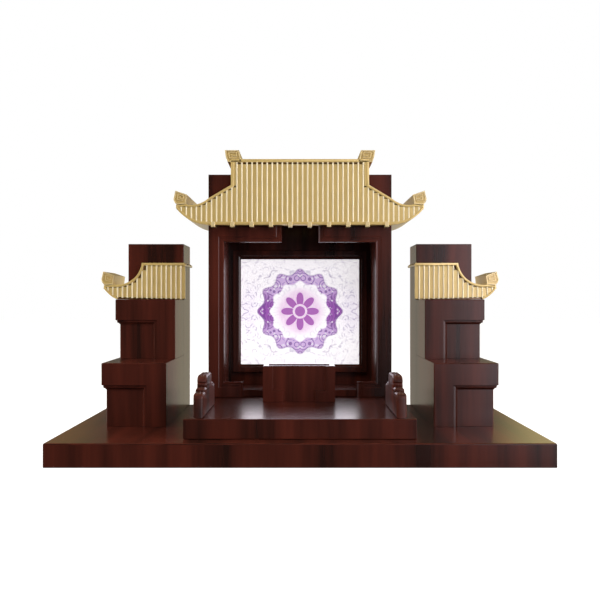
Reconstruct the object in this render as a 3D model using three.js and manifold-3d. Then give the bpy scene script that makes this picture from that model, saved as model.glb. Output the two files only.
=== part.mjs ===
// Household altar cabinet: a dark rosewood gate with a framed picture in its niche, between two
// stepped towers, under three gilt roofs, all on one plinth. Millimetres, +Z up, front towards -Y.
// The origin is on the floor, under the middle of the plinth.
import * as THREE from 'three';
import { ConvexGeometry } from 'three/addons/geometries/ConvexGeometry.js';
import { mergeVertices } from 'three/addons/utils/BufferGeometryUtils.js';
import Module from 'manifold-3d';

const wasm = await Module();
wasm.setup();

// Driving dimensions. Every "from front" is measured back from the plinth's front face.
const seatGap = 0.3; // between pieces that touch

const plinthWidth = 900;
const plinthDepth = 590;
const plinthHeight = 43;
const plinthChamfer = 4;

const platformMargin = 9; // past each side of the gate
const platformHeight = 36.6;
const platformSetback = 45;
const platformChamfer = 3;

const gateHeight = 490;
const gateDepth = 183;
const portalThickness = 22;
const portalBead = 11; // width of the moulding round the opening
const portalBeadDepth = 4;
const portalPost = 34.5; // width of the board beside the opening
const portalHead = 152; // from the underside of the lintel to the gate's top
const notchWidth = 81; // step cut up into the middle of the lintel
const notchHeight = 50;
const footWidth = 41; // stepped feet in the opening's lower corners
const footHeight = 36;
const nicheBackThickness = 18;
const nicheBackInset = 23; // the back board stands in from the gate's back edge
const nicheFloorHeight = 15.5;
const nicheFloorSetback = 10; // the sill stands behind the portal's front face
const gateTopThickness = 30;

const frameSideGap = 9.5; // between the frame and the edge of the opening
const frameTopGap = 7.5; // between the frame and the level of the lintel's underside
const frameFaceWidth = 18.6;
const frameThickness = 10.7;
const frameLift = 29; // from the niche floor to the frame's lower edge
const pictureSetback = 3; // behind the frame's front face
const pictureClearance = 0.3;

const tableWidth = 152;
const tableDepth = 67;
const tableHeight = 75.6;
const tableGap = 22; // between the table and the gate
const tableShift = -2; // the table stands a touch left of the middle
const tableRim = 11.5;
const trayDepth = 8;
const tableLegWidth = 24;
const tableFootWidth = 46.5;
const tableFootHeight = 27;
const tableReliefDepth = 4; // of the panel sunk into its front

const railThickness = 18.4;
const railLength = 217;
const railSetback = 6.7; // from the platform's front
const railInset = 26.7; // from the platform's side to the rail's middle
const railLowHeight = 46;
const railScrollHeight = 52;
const railHighHeight = 70.4;
const railArchRise = 6.2; // arch across the top
const railLowLength = 36; // front lobe, before the small scroll
const railScrollLength = 26; // small scroll between the lobe and the high part
const railRounding = 9; // rounding of each part's outer corner
const railScoop = 4; // hollow where one part meets the next

const cellWidth = 126; // width of a tower
const cellHeight = 126; // height of each of its steps
const towerMargin = 59.7; // from the plinth's side to a tower's outer side
const gateMargin = 62.8; // between a tower and the gate
const pierDepth = 116;
const upperDepth = 142; // of the step in front of the pier
const lowerDepth = 128; // of the step in front of that
const borderStile = 41; // raised border on each block's front
const borderRail = 44;
const borderRecess = 9;
const borderMoulding = 6; // width of the moulding, which steps back in two fillets

const roofRibPitch = 11;
const roofRibWidth = 4.2;
const roofFluteDepth = 3;
const roofBand = 5; // raised edge left along the curved outlines
const roofEaveBand = 7;
const roofRidgeBand = 7;

const mainRoofProud = 24; // in front of the gate
const mainEaveDrop = 112.6; // from the gate's top to the eave
const mainRidgeRise = 143.2; // from the eave to the ridge
const mainGableInset = 51.1; // from the gate's side to the gable
const mainGableStrip = 8;
const mainHipRise = 87; // from the eave to where the hip leaves the gable
const finialHeight = 19.3;
const finialProud = 13.1; // past the gable
const finialWidth = 30.9; // of its top
const finialSplay = 3.7; // from its inner top corner in to its foot
const finialLean = 2; // of its outer side, and three times that at its narrowest
const mainHipRun = 47.7; // straight part of the hip, along X
const mainHipFall = 28.5; // and its fall
const mainHipSag = 7; // dip of the curved part below the corner block's foot
const mainCornerReach = 69.5; // from the gate's side to the corner block's outer top corner
const mainCornerRise = 74.5; // from the eave to the same corner
const mainEaveTurn = 76; // length of the curve up from the eave to the lip

const sideRoofProud = 12; // in front of the pier
const sideRidgeRise = 82.6; // above the upper block
const sideRidgeInset = 32.4; // from the tower's outer side to the ridge's outer end
const sideCornerReach = 55; // from the tower's outer side to the corner block's outer top corner
const sideHipLean = 4; // how far the hip's steep upper part leans out
const sideHipSteep = 33; // and how far down it stays steep
const sideHipFlat = 31; // length of its flat lower part
const sideHipSag = 4; // dip of that part below the corner block's foot
const sideEaveSag = 5; // rise of the eave's curve near its start
const sideCornerRise = 63; // above the upper block
const sideEaveTurn = 32;
const sideFirstFlute = 10.9; // from the tower's inner side to the middle of the first flute
const sideEaveBand = 2;
const sideInnerProud = 2.8; // past the tower's inner side
const copingProud = 5.7; // past the tower's inner side
const copingHeight = 8;
const copingLip = 3.3; // height of its blunt edge

const cornerFoot = 22.5; // inwards from a corner block's outer top corner to its foot
const cornerHeight = 29.3; // from the foot to the outer top corner
const cornerWidth = 25;
const cornerSlope = 8.5; // fall of its top from the outer to the inner corner
const cornerBelly = 4; // swelling of its outer side
const lipNotch = 3; // nick between the corner block and the lip of the eave
const lipDrop = 9; // from the foot to the bottom of the lip

const rafterCount = 10;
const rafterInset = 12.5; // from the gate's side to the outermost rafter's middle
const rafterWidth = 9;
const rafterHeight = 11.4;
const rafterDrop = 4.7; // below the eave
const rafterProud = 4; // in front of the roof

// Heights and places worked out from the sizes above.
const plinthTop = plinthHeight;
const platformTop = plinthTop + platformHeight;
const towerOuter = plinthWidth / 2 - towerMargin;
const towerInner = towerOuter - cellWidth;
const pierFromFront = plinthDepth - pierDepth;
const upperFromFront = pierFromFront - upperDepth;
const lowerFromFront = upperFromFront - lowerDepth;
const lowerTop = plinthTop + cellHeight;
const upperTop = lowerTop + cellHeight;
const pierTop = upperTop + cellHeight;
const gateWidth = 2 * (towerInner - gateMargin);
const gateFront = plinthDepth - gateDepth;
const gateTop = platformTop + gateHeight;
const platformWidth = gateWidth + 2 * platformMargin;
const openingWidth = gateWidth - 2 * portalPost;
const lintelUnderside = gateTop - portalHead;
const nicheBack = plinthDepth - nicheBackInset - nicheBackThickness;
const nicheFloorTop = platformTop + nicheFloorHeight;
const frameFront = nicheBack - seatGap - frameThickness;
const frameBottom = nicheFloorTop + frameLift;
const frameWidth = openingWidth - 2 * frameSideGap;
const frameHeight = lintelUnderside - frameTopGap - frameBottom;
const tableFromFront = gateFront - tableGap - tableDepth;
const railFromFront = platformSetback + railSetback;
const railMiddle = platformWidth / 2 - railInset;
const mainRoofFront = gateFront - mainRoofProud;
const mainEaveHeight = gateTop - mainEaveDrop;
const mainRidgeHeight = mainEaveHeight + mainRidgeRise;
const mainGableHalf = gateWidth / 2 - mainGableInset;
const mainHipStart = mainEaveHeight + mainHipRise;
const mainCornerOut = gateWidth / 2 + mainCornerReach;
const mainCornerTop = mainEaveHeight + mainCornerRise;
const finialOuter = mainGableHalf + finialProud;
const finialInner = finialOuter - finialWidth;
const finialFoot = finialInner - finialSplay;
const sideRoofFront = pierFromFront - sideRoofProud;
const sideRidgeEnd = towerOuter - sideRidgeInset;
const sideCornerOut = towerOuter + sideCornerReach;

// Solids.
function toSolid(geometry) {
  const bare = geometry.clone();
  bare.deleteAttribute('normal');
  bare.deleteAttribute('uv');
  const merged = mergeVertices(bare, 1e-4);
  return new wasm.Manifold(new wasm.Mesh({
    numProp: 3,
    vertProperties: new Float32Array(merged.attributes.position.array),
    triVerts: new Uint32Array(merged.index.array),
  }));
}

function toGeometry(solid) {
  const mesh = solid.getMesh();
  const geometry = new THREE.BufferGeometry();
  geometry.setAttribute('position', new THREE.BufferAttribute(mesh.vertProperties, 3));
  geometry.setIndex(new THREE.BufferAttribute(mesh.triVerts, 1));
  geometry.computeVertexNormals();
  return geometry;
}

function boxGeometry(x, y, z) {
  const geometry = new THREE.BoxGeometry(x[1] - x[0], y[1] - y[0], z[1] - z[0]);
  return geometry.translate((x[0] + x[1]) / 2, (y[0] + y[1]) / 2, (z[0] + z[1]) / 2);
}

function box(x, y, z) {
  return toSolid(boxGeometry(x, y, z));
}

// A shape drawn in X and Z, carried back in Y.
function frontExtrusion(shape, yFront, yBack, curveSegments = 6) {
  const geometry = new THREE.ExtrudeGeometry(shape, {
    depth: yBack - yFront, bevelEnabled: false, curveSegments,
  });
  return toSolid(geometry.rotateX(Math.PI / 2).translate(0, yBack, 0));
}

// A shape drawn in Y and Z, carried across in X.
function sideExtrusion(shape, xLeft, xRight, curveSegments = 6) {
  const geometry = new THREE.ExtrudeGeometry(shape, {
    depth: xRight - xLeft, bevelEnabled: false, curveSegments,
  });
  const turn = new THREE.Matrix4().makeBasis(
    new THREE.Vector3(0, 1, 0), new THREE.Vector3(0, 0, 1), new THREE.Vector3(1, 0, 0));
  return toSolid(geometry.applyMatrix4(turn).translate(xLeft, 0, 0));
}

function outline(points) {
  return new THREE.Shape(points.map(([x, z]) => new THREE.Vector2(x, z)));
}

// A board with its upper edges chamfered.
function chamferedBoard(x, y, z, chamfer) {
  const corners = [];
  for (const [inset, height] of [[0, z[0]], [0, z[1] - chamfer], [chamfer, z[1]]]) {
    for (const px of [x[0] + inset, x[1] - inset]) {
      for (const py of [y[0] + inset, y[1] - inset]) {
        corners.push(new THREE.Vector3(px, py, height));
      }
    }
  }
  return toSolid(new ConvexGeometry(corners));
}

// Base.
function makePlinth() {
  const half = plinthWidth / 2;
  return chamferedBoard([-half, half], [0, plinthDepth], [0, plinthTop], plinthChamfer);
}

function makePlatform() {
  const half = platformWidth / 2;
  return chamferedBoard([-half, half], [platformSetback, plinthDepth],
    [plinthTop + seatGap, platformTop], platformChamfer);
}

// Gate.
// Outline of the opening, grown by a margin: a step up in the middle of the lintel, and a
// foot in each lower corner.
function openingOutline(margin) {
  const side = openingWidth / 2 + margin;
  const notch = notchWidth / 2 + margin;
  const foot = openingWidth / 2 - footWidth + margin;
  const footTop = platformTop + footHeight - margin;
  const lintel = lintelUnderside + margin;
  const notchTop = lintelUnderside + notchHeight + margin;
  const bottom = platformTop - 1;
  const half = [
    [foot, bottom], [foot, footTop], [side, footTop], [side, lintel], [notch, lintel], [notch, notchTop],
  ];
  const left = half.map(([x, z]) => [-x, z]).reverse();
  return outline([...half, ...left]);
}

function makePortal() {
  const half = gateWidth / 2;
  const back = gateFront + portalThickness;
  const board = box([-half, half], [gateFront, back], [platformTop + seatGap, gateTop]);
  const opening = frontExtrusion(openingOutline(0), gateFront - 1, back + 1);
  const moulding = frontExtrusion(openingOutline(portalBead), gateFront - 1, gateFront + portalBeadDepth);
  return board.subtract(opening).subtract(moulding);
}

function makeGateSide() {
  const front = gateFront + portalThickness + seatGap;
  return box([openingWidth / 2, gateWidth / 2], [front, plinthDepth], [platformTop + seatGap, gateTop]);
}

function makeGateTop() {
  const half = openingWidth / 2 - seatGap;
  const front = gateFront + portalThickness + seatGap;
  return box([-half, half], [front, plinthDepth], [gateTop - gateTopThickness, gateTop]);
}

function makeGateFloor() {
  const half = openingWidth / 2 - seatGap;
  const tongue = openingWidth / 2 - footWidth - seatGap;
  const heights = [platformTop + seatGap, nicheFloorTop];
  const front = gateFront + portalThickness + seatGap;
  const back = nicheBack - seatGap;
  const slab = box([-half, half], [front, back], heights);
  const sill = box([-tongue, tongue], [gateFront + nicheFloorSetback, back], heights);
  return slab.add(sill);
}

function makeGateBack() {
  const half = openingWidth / 2 - seatGap;
  const heights = [platformTop + seatGap, gateTop - gateTopThickness - seatGap];
  return box([-half, half], [nicheBack, nicheBack + nicheBackThickness], heights);
}

function makePictureFrame() {
  const half = frameWidth / 2;
  const inner = half - frameFaceWidth;
  const back = nicheBack - seatGap;
  const ring = box([-half, half], [frameFront, back], [frameBottom, frameBottom + frameHeight]);
  const window = box([-inner, inner], [frameFront - 1, back + 1],
    [frameBottom + frameFaceWidth, frameBottom + frameHeight - frameFaceWidth]);
  return ring.subtract(window);
}

function makePicture() {
  const edge = frameFaceWidth + pictureClearance;
  const half = frameWidth / 2 - edge;
  return box([-half, half], [frameFront + pictureSetback, nicheBack - seatGap],
    [frameBottom + edge, frameBottom + frameHeight - edge]);
}

// Furniture on the platform.
function makeTable() {
  const half = tableWidth / 2;
  const bottom = platformTop + seatGap;
  const top = platformTop + tableHeight;
  const back = tableFromFront + tableDepth;
  const body = box([-half, half], [tableFromFront, back], [bottom, top]);
  const tray = box([-half + tableRim, half - tableRim],
    [tableFromFront + tableRim, back - tableRim], [top - trayDepth, top + 1]);
  const panel = half - tableLegWidth;
  const gap = half - tableFootWidth;
  const footTop = platformTop + tableFootHeight;
  const relief = outline([
    [gap, bottom - 1], [gap, footTop], [panel, footTop], [panel, top + 1],
    [-panel, top + 1], [-panel, footTop], [-gap, footTop], [-gap, bottom - 1],
  ]);
  const recess = frontExtrusion(relief, tableFromFront - 1, tableFromFront + tableReliefDepth);
  return body.subtract(tray).subtract(recess).translate([tableShift, 0, 0]);
}

// Half of the rail's side outline, from its outer end to its middle: a low lobe, a small scroll
// and the high part, each with a rounded outer corner and a hollow where it meets the next.
function railHalfOutline() {
  const scrollStart = railLowLength;
  const highStart = railLowLength + railScrollLength;
  const parts = [
    { start: 0, end: scrollStart, height: railLowHeight, rounding: railRounding },
    { start: scrollStart, end: highStart, height: railScrollHeight, rounding: railRounding / 2 },
    { start: highStart, end: railLength / 2, height: railHighHeight, rounding: railRounding },
  ];
  const path = new THREE.Path();
  path.moveTo(0, seatGap);
  for (const { start, end, height, rounding } of parts) {
    path.lineTo(start, height - rounding);
    path.quadraticCurveTo(start, height, start + rounding, height);
    if (end === railLength / 2) break;
    path.lineTo(end - railScoop, height);
    path.quadraticCurveTo(end, height - railScoop, end, height);
  }
  return path.getPoints(4);
}

function makeRail() {
  const back = railFromFront + railLength;
  const half = railHalfOutline();
  const ahead = half.map((p) => [railFromFront + p.x, platformTop + p.y]);
  const behind = half.map((p) => [back - p.x, platformTop + p.y]);
  const slab = sideExtrusion(outline([...behind, ...ahead.reverse()]),
    railMiddle - railThickness / 2, railMiddle + railThickness / 2);
  return slab.intersect(railArch());
}

// The rail's cross-section: straight sides and an arched top.
function railArch() {
  const half = railThickness / 2;
  const spring = platformTop + railHighHeight - railArchRise;
  const arch = new THREE.Shape();
  arch.moveTo(railMiddle - half, platformTop);
  arch.lineTo(railMiddle + half, platformTop);
  arch.lineTo(railMiddle + half, spring);
  arch.quadraticCurveTo(railMiddle + half * 0.8, spring + railArchRise, railMiddle, spring + railArchRise);
  arch.quadraticCurveTo(railMiddle - half * 0.8, spring + railArchRise, railMiddle - half, spring);
  return frontExtrusion(arch, railFromFront - 1, railFromFront + railLength + 1, 4);
}

// Towers, drawn on the right and mirrored to the left.
function makePier() {
  return box([towerInner, towerOuter], [pierFromFront, plinthDepth], [plinthTop + seatGap, pierTop]);
}

// A block whose front has a raised border along its inner side and top. The field below and
// outside it is sunk on the front and on the outer side, in two fillets.
function makeBlock(front, bottom, top) {
  const back = pierFromFront - seatGap;
  let block = box([towerInner, towerOuter], [front, back], [bottom, top]);
  for (const fillet of [0, 1]) {
    const depth = borderRecess * (fillet + 1) / 2;
    const railEdge = top - borderRail - borderMoulding * fillet;
    const stileEdge = towerInner + borderStile + borderMoulding * fillet;
    const frontField = box([stileEdge, towerOuter + 1], [front - 1, front + depth], [bottom - 1, railEdge]);
    const outerField = box([towerOuter - depth, towerOuter + 1], [front - 1, back + 1],
      [bottom - 1, railEdge]);
    block = block.subtract(frontField).subtract(outerField);
  }
  return block;
}

// Roofs.
// The upturned corner: a block with a carved face over the end of the eave. Drawn from the
// hip's foot round to the bottom of the eave's lip.
function cornerBlock(shape, out, top) {
  const foot = top - cornerHeight;
  shape.lineTo(out - cornerFoot, foot);
  shape.lineTo(out - cornerWidth, top - cornerSlope);
  shape.lineTo(out, top);
  shape.lineTo(out + cornerBelly, foot + cornerHeight * 0.4);
  shape.quadraticCurveTo(out + cornerBelly, foot + cornerHeight * 0.15, out - lipNotch, foot - 1);
  shape.lineTo(out - lipNotch / 2, foot - lipDrop / 2);
  shape.lineTo(out - lipNotch / 2, foot - lipDrop);
}

// Flutes between the ribs, each a shallow round hollow squared off under the band above it.
function makeFlute(x, bottom, top, front) {
  const half = (roofRibPitch - roofRibWidth) / 2;
  const hollow = new THREE.Shape();
  hollow.moveTo(x + half, front - 1);
  hollow.lineTo(x + half, front);
  hollow.quadraticCurveTo(x + half * 0.8, front + roofFluteDepth, x, front + roofFluteDepth);
  hollow.quadraticCurveTo(x - half * 0.8, front + roofFluteDepth, x - half, front);
  hollow.lineTo(x - half, front - 1);
  const geometry = new THREE.ExtrudeGeometry(hollow, {
    depth: top - bottom, bevelEnabled: false, curveSegments: 2,
  });
  return toSolid(geometry.translate(0, 0, bottom));
}

// The height of an outline's upper or lower edge at a distance from the centre line.
function edgeHeight(points, x, upper) {
  const heights = [];
  points.forEach((a, k) => {
    const b = points[(k + 1) % points.length];
    const low = Math.min(a.x, b.x);
    const high = Math.max(a.x, b.x);
    if (high - low > 1e-6 && x >= low && x <= high) {
      heights.push(a.y + (b.y - a.y) * (x - a.x) / (b.x - a.x));
    }
  });
  return upper ? Math.max(...heights) : Math.min(...heights);
}

// Cuts the flutes into a roof's front, at the given distances from the centre line. The lid
// gives the height of the band that ends a flute above, from the outline's height there.
function cutFlutes(roof, points, middles, front, lid, eaveBand) {
  const reach = (roofRibPitch - roofRibWidth) / 2;
  let cut = roof;
  for (const x of middles) {
    const sides = [x - reach, x + reach];
    const top = Math.min(...sides.map((side) => lid(Math.abs(side), edgeHeight(points, side, true))));
    const bottom = Math.max(...sides.map((side) => edgeHeight(points, side, false))) + eaveBand;
    if (top - bottom > roofRibPitch / 2) cut = cut.subtract(makeFlute(x, bottom, top, front));
  }
  return cut;
}

function mainRoofPoints() {
  const eave = mainEaveHeight;
  const ridge = mainRidgeHeight;
  const out = mainCornerOut;
  const foot = mainCornerTop - cornerHeight;
  const knee = mainGableHalf + mainHipRun;
  const shape = new THREE.Shape();
  shape.moveTo(0, ridge);
  shape.lineTo(finialFoot, ridge);
  shape.lineTo(finialInner, ridge + finialHeight);
  shape.lineTo(finialOuter, ridge + finialHeight);
  shape.lineTo(finialOuter - finialLean, ridge + finialHeight / 4);
  shape.quadraticCurveTo(finialOuter - 3 * finialLean, ridge - finialHeight * 0.4,
    mainGableHalf, ridge - finialHeight * 1.1);
  shape.lineTo(mainGableHalf, mainHipStart);
  shape.lineTo(knee, mainHipStart - mainHipFall);
  shape.quadraticCurveTo((knee + out - cornerFoot) / 2, foot - mainHipSag, out - cornerFoot, foot);
  cornerBlock(shape, out, mainCornerTop);
  shape.quadraticCurveTo(out - mainEaveTurn * 0.4, eave, out - mainEaveTurn, eave);
  shape.lineTo(0, eave);
  const half = shape.getPoints(6).slice(0, -1);
  const left = half.slice(1).map((p) => new THREE.Vector2(-p.x, p.y)).reverse();
  return [new THREE.Vector2(0, eave), ...left, ...half];
}

// The main roof is carved over the gate: the whole outline in front of it, a slab over its top
// and a wing along each side.
function makeMainRoof() {
  const points = mainRoofPoints();
  const gate = box([-gateWidth / 2 - seatGap, gateWidth / 2 + seatGap],
    [gateFront - seatGap, plinthDepth + 1], [mainEaveHeight - 1, gateTop + seatGap]);
  let roof = frontExtrusion(new THREE.Shape(points), mainRoofFront, plinthDepth).subtract(gate);
  const lid = (reach, height) => {
    if (reach < mainGableHalf - mainGableStrip) return mainRidgeHeight - roofRidgeBand;
    if (reach > mainCornerOut - cornerWidth - 1) return mainCornerTop - cornerHeight - roofBand;
    return Math.min(height, mainHipStart) - roofBand;
  };
  const count = Math.floor(mainCornerOut / roofRibPitch);
  const middles = Array.from({ length: 2 * count + 1 }, (_, k) => (k - count) * roofRibPitch);
  roof = cutFlutes(roof, points, middles, mainRoofFront, lid, roofEaveBand);
  for (const x of rafterMiddles()) {
    const half = rafterWidth / 2 + seatGap;
    const seat = mainEaveHeight - rafterDrop + rafterHeight + seatGap;
    roof = roof.subtract(box([x - half, x + half], [mainRoofFront - 1, gateFront + 1],
      [mainEaveHeight - 1, seat]));
  }
  return roof;
}

function sideRoofPoints() {
  const eave = upperTop + seatGap;
  const ridge = upperTop + sideRidgeRise;
  const end = sideRidgeEnd;
  const out = sideCornerOut;
  const top = upperTop + sideCornerRise;
  const foot = top - cornerHeight;
  const shape = new THREE.Shape();
  shape.moveTo(towerInner - sideInnerProud, ridge);
  shape.lineTo(end, ridge);
  shape.bezierCurveTo(end + sideHipLean, ridge - sideHipSteep,
    out - cornerFoot - sideHipFlat, foot - sideHipSag, out - cornerFoot, foot);
  cornerBlock(shape, out, top);
  shape.quadraticCurveTo(out - sideEaveTurn / 2, eave + sideEaveSag, out - sideEaveTurn, eave);
  shape.lineTo(towerInner - sideInnerProud, eave);
  return shape.getPoints(6);
}

// A side roof is carved round its pier: the whole outline in front of it and a wing along its
// outer side, with the ridge carried back along the inner side as a coping.
function makeSideRoof() {
  const points = sideRoofPoints();
  const ridge = upperTop + sideRidgeRise;
  const out = sideCornerOut;
  const pier = box([towerInner - 20, towerOuter + seatGap],
    [pierFromFront - seatGap, plinthDepth + 1], [upperTop - 1, ridge + 10]);
  const roof = frontExtrusion(new THREE.Shape(points), sideRoofFront, plinthDepth).subtract(pier);
  const lid = (reach, height) => {
    if (reach > out - cornerWidth - 1) return upperTop + sideCornerRise - cornerHeight - roofBand;
    return Math.min(height - roofBand, ridge - roofRidgeBand);
  };
  const count = Math.floor((out - towerInner - sideFirstFlute) / roofRibPitch);
  const middles = Array.from({ length: count }, (_, k) => towerInner + sideFirstFlute + k * roofRibPitch);
  return cutFlutes(roof, points, middles, sideRoofFront, lid, sideEaveBand).add(makeCoping(ridge));
}

// Narrow weathered coping that carries the ridge band back along the pier's inner side.
function makeCoping(ridge) {
  const wall = towerInner - seatGap;
  const tip = towerInner - copingProud;
  const bottom = ridge - copingHeight + 1;
  const section = outline([[wall, bottom], [wall, ridge + 1], [tip, bottom + copingLip], [tip, bottom]]);
  return frontExtrusion(section, sideRoofFront, plinthDepth);
}

// Rafter ends under the main eave.
function rafterMiddles() {
  const pitch = (gateWidth - 2 * rafterInset) / (rafterCount - 1);
  return Array.from({ length: rafterCount }, (_, k) => (k - (rafterCount - 1) / 2) * pitch);
}

function makeRafter(x) {
  const half = rafterWidth / 2;
  const bottom = mainEaveHeight - rafterDrop;
  return box([x - half, x + half], [mainRoofFront - rafterProud, gateFront - seatGap],
    [bottom, bottom + rafterHeight]);
}

// Materials.
const rosewood = new THREE.MeshStandardMaterial({ color: 0x3c1a15, roughness: 0.25, metalness: 0 });
const gilt = new THREE.MeshStandardMaterial({ color: 0xbe9f60, roughness: 0.35, metalness: 0.6 });
const printed = new THREE.MeshStandardMaterial({ color: 0xf1ebf4, roughness: 0.6, metalness: 0 });

const altar = new THREE.Group();
altar.position.y = -plinthDepth / 2;

function place(name, solid, material) {
  const mesh = new THREE.Mesh(toGeometry(solid), material);
  mesh.name = name;
  altar.add(mesh);
}

function placePair(name, solid, material) {
  place(`${name}_right`, solid, material);
  place(`${name}_left`, solid.mirror([1, 0, 0]), material);
}

place('plinth', makePlinth(), rosewood);
place('platform', makePlatform(), rosewood);
place('gate_portal', makePortal(), rosewood);
placePair('gate_side', makeGateSide(), rosewood);
place('gate_top', makeGateTop(), rosewood);
place('gate_floor', makeGateFloor(), rosewood);
place('gate_back', makeGateBack(), rosewood);
place('picture_frame', makePictureFrame(), rosewood);
place('picture_panel', makePicture(), printed);
place('offering_table', makeTable(), rosewood);
placePair('rail', makeRail(), rosewood);
placePair('tower_pier', makePier(), rosewood);
placePair('lower_block', makeBlock(lowerFromFront, plinthTop + seatGap, lowerTop), rosewood);
placePair('upper_block', makeBlock(upperFromFront, lowerTop + seatGap, upperTop), rosewood);
placePair('side_roof', makeSideRoof(), gilt);
place('main_roof', makeMainRoof(), gilt);
rafterMiddles().forEach((x, k) => place(`rafter_end_${k + 1}`, makeRafter(x), gilt));

export default altar;
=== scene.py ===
"""Looks of a household altar cabinet: lacquered rosewood, gilt carved roofs and a backlit print."""

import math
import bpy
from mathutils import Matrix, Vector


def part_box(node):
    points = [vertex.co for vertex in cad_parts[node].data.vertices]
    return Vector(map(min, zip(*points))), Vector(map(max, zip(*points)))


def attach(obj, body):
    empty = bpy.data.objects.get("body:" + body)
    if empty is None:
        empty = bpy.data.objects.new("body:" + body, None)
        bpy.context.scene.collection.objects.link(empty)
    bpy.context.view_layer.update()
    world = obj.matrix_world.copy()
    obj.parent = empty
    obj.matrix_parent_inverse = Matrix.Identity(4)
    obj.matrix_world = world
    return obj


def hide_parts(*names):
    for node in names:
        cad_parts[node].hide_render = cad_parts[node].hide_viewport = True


bl_info = {
    "name": "Household altar cabinet",
    "version": (1, 0, 0),
    "blender": (4, 5, 0),
    "location": "3D View > Sidebar > Altar",
    "description": "Builds the finished surfaces of a household altar cabinet round its frame",
    "category": "Object",
}

import bmesh
import bpy
from bpy.props import FloatProperty, FloatVectorProperty, PointerProperty
from mathutils import Vector

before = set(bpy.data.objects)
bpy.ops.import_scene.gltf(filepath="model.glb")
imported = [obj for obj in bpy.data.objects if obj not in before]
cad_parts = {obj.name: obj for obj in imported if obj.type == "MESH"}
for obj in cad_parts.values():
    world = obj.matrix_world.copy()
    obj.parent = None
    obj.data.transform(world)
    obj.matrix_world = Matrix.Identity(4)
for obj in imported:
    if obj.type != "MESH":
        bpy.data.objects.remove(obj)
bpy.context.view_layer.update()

MM = 0.001
MERGE = 0.002 * MM  # corners nearer than this are one corner

# Where the object stands, from the frame.
PLINTH_LOW, PLINTH_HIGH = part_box("plinth")
PORTAL_LOW, PORTAL_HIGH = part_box("gate_portal")
ROOF_LOW, ROOF_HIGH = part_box("main_roof")
SIDE_ROOF_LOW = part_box("side_roof_right")[0]
PIER_LOW, PIER_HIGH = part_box("tower_pier_right")


def linear(code):
    """A colour from its sRGB hex code, as Blender's linear values."""
    channels = []
    for start in (0, 2, 4):
        share = int(code[start:start + 2], 16) / 255
        channels.append(share / 12.92 if share <= 0.04045 else ((share + 0.055) / 1.055) ** 2.4)
    return (*channels, 1.0)


class AltarWood(bpy.types.PropertyGroup):
    """The rosewood boards and their lacquer."""

    edge: FloatProperty(
        name="Edge", description="Width of the softened edge on every board",
        default=1.2 * MM, unit="LENGTH")
    streak: FloatProperty(
        name="Streak", description="Width of one broad grain streak",
        default=44 * MM, unit="LENGTH")
    dark: FloatVectorProperty(
        name="Dark grain", description="Colour of the darkest grain",
        default=linear("2a140e"), size=4, subtype="COLOR")
    warm: FloatVectorProperty(
        name="Warm grain", description="Colour of the reddest grain",
        default=linear("58261b"), size=4, subtype="COLOR")


class AltarGilt(bpy.types.PropertyGroup):
    """The gilt roofs and their carving."""

    rib_pitch: FloatProperty(
        name="Rib pitch", description="Distance from one roof rib to the next",
        default=11 * MM, unit="LENGTH")
    rib_width: FloatProperty(
        name="Rib width", description="Width of one roof rib",
        default=3.4 * MM, unit="LENGTH")
    colour: FloatVectorProperty(
        name="Gold", description="Colour of the gold leaf",
        default=linear("eccd80"), size=4, subtype="COLOR")


class AltarStage(bpy.types.PropertyGroup):
    """The camera's place and lens."""

    distance: FloatProperty(
        name="Distance", description="From the plinth's front face to the camera",
        default=1.5728, unit="LENGTH")
    height: FloatProperty(
        name="Height", description="Height of the camera above the floor",
        default=0.2937, unit="LENGTH")
    lens: FloatProperty(
        name="Lens", description="Focal length on a 36 mm sensor",
        default=54, subtype="DISTANCE_CAMERA")


# Mesh helpers.
def loft(bm, rings, closed=False):
    """Skins a run of matching rings. The first ring's edges are extruded to each next one."""
    ring = [bm.verts.new(point) for point in rings[0]]
    pairs = list(zip(ring, ring[1:] + ring[:1]))
    edges = [bm.edges.new(pair) for pair in pairs]
    if not closed:
        bm.faces.new(ring)
    stations = rings[1:] + (rings[:1] if closed else [])
    for points in stations:
        made = bmesh.ops.extrude_edge_only(bm, edges=edges)["geom"]
        fresh = {item for item in made if isinstance(item, bmesh.types.BMVert)}
        mates = []
        for old, point in zip(ring, points):
            mate = next(e.other_vert(old) for e in old.link_edges if e.other_vert(old) in fresh)
            mate.co = point
            mates.append(mate)
        ring = mates
        edges = [bm.edges.get(pair) for pair in zip(ring, ring[1:] + ring[:1])]
    if not closed:
        bm.faces.new(ring)


def miters(chain, closed):
    """For each point, the step that lies one unit to the left of both its edges. At a corner
    that turns nearly back on itself the step is kept short."""
    sharpest = 1.2
    steps = []
    count = len(chain)
    for index, point in enumerate(chain):
        normals = []
        if closed or index > 0:
            ahead = (point - chain[index - 1]).normalized()
            normals.append(Vector((-ahead.y, ahead.x)))
        if closed or index < count - 1:
            ahead = (chain[(index + 1) % count] - point).normalized()
            normals.append(Vector((-ahead.y, ahead.x)))
        total = sum(normals, Vector((0, 0)))
        if len(normals) == 2:
            total = total * 2 / max(total.length_squared, sharpest)
        steps.append(total)
    return steps


def sweep(bm, chain, profile, place, closed=False, widths=None):
    """Runs a profile along a flat chain of points, mitred at its corners. A profile point is a
    share of the width, a step to the left of the chain, and a depth."""
    rings = []
    for index, (point, step) in enumerate(zip(chain, miters(chain, closed))):
        width = widths[index] if widths else 0
        rings.append([place(point + step * (share * width + across), depth)
                      for share, across, depth in profile])
    loft(bm, rings, closed)


def facing(front):
    """Places a point of a front view, and a depth behind the given front."""
    return lambda point, depth: Vector((point.x, front + depth, point.y))


def prism(bm, outline, front, depth_low, depth_high):
    """A flat outline of a front view, as a solid between two depths behind the front."""
    place = facing(front)
    loft(bm, [[place(point, depth) for point in outline] for depth in (depth_low, depth_high)])


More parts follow.
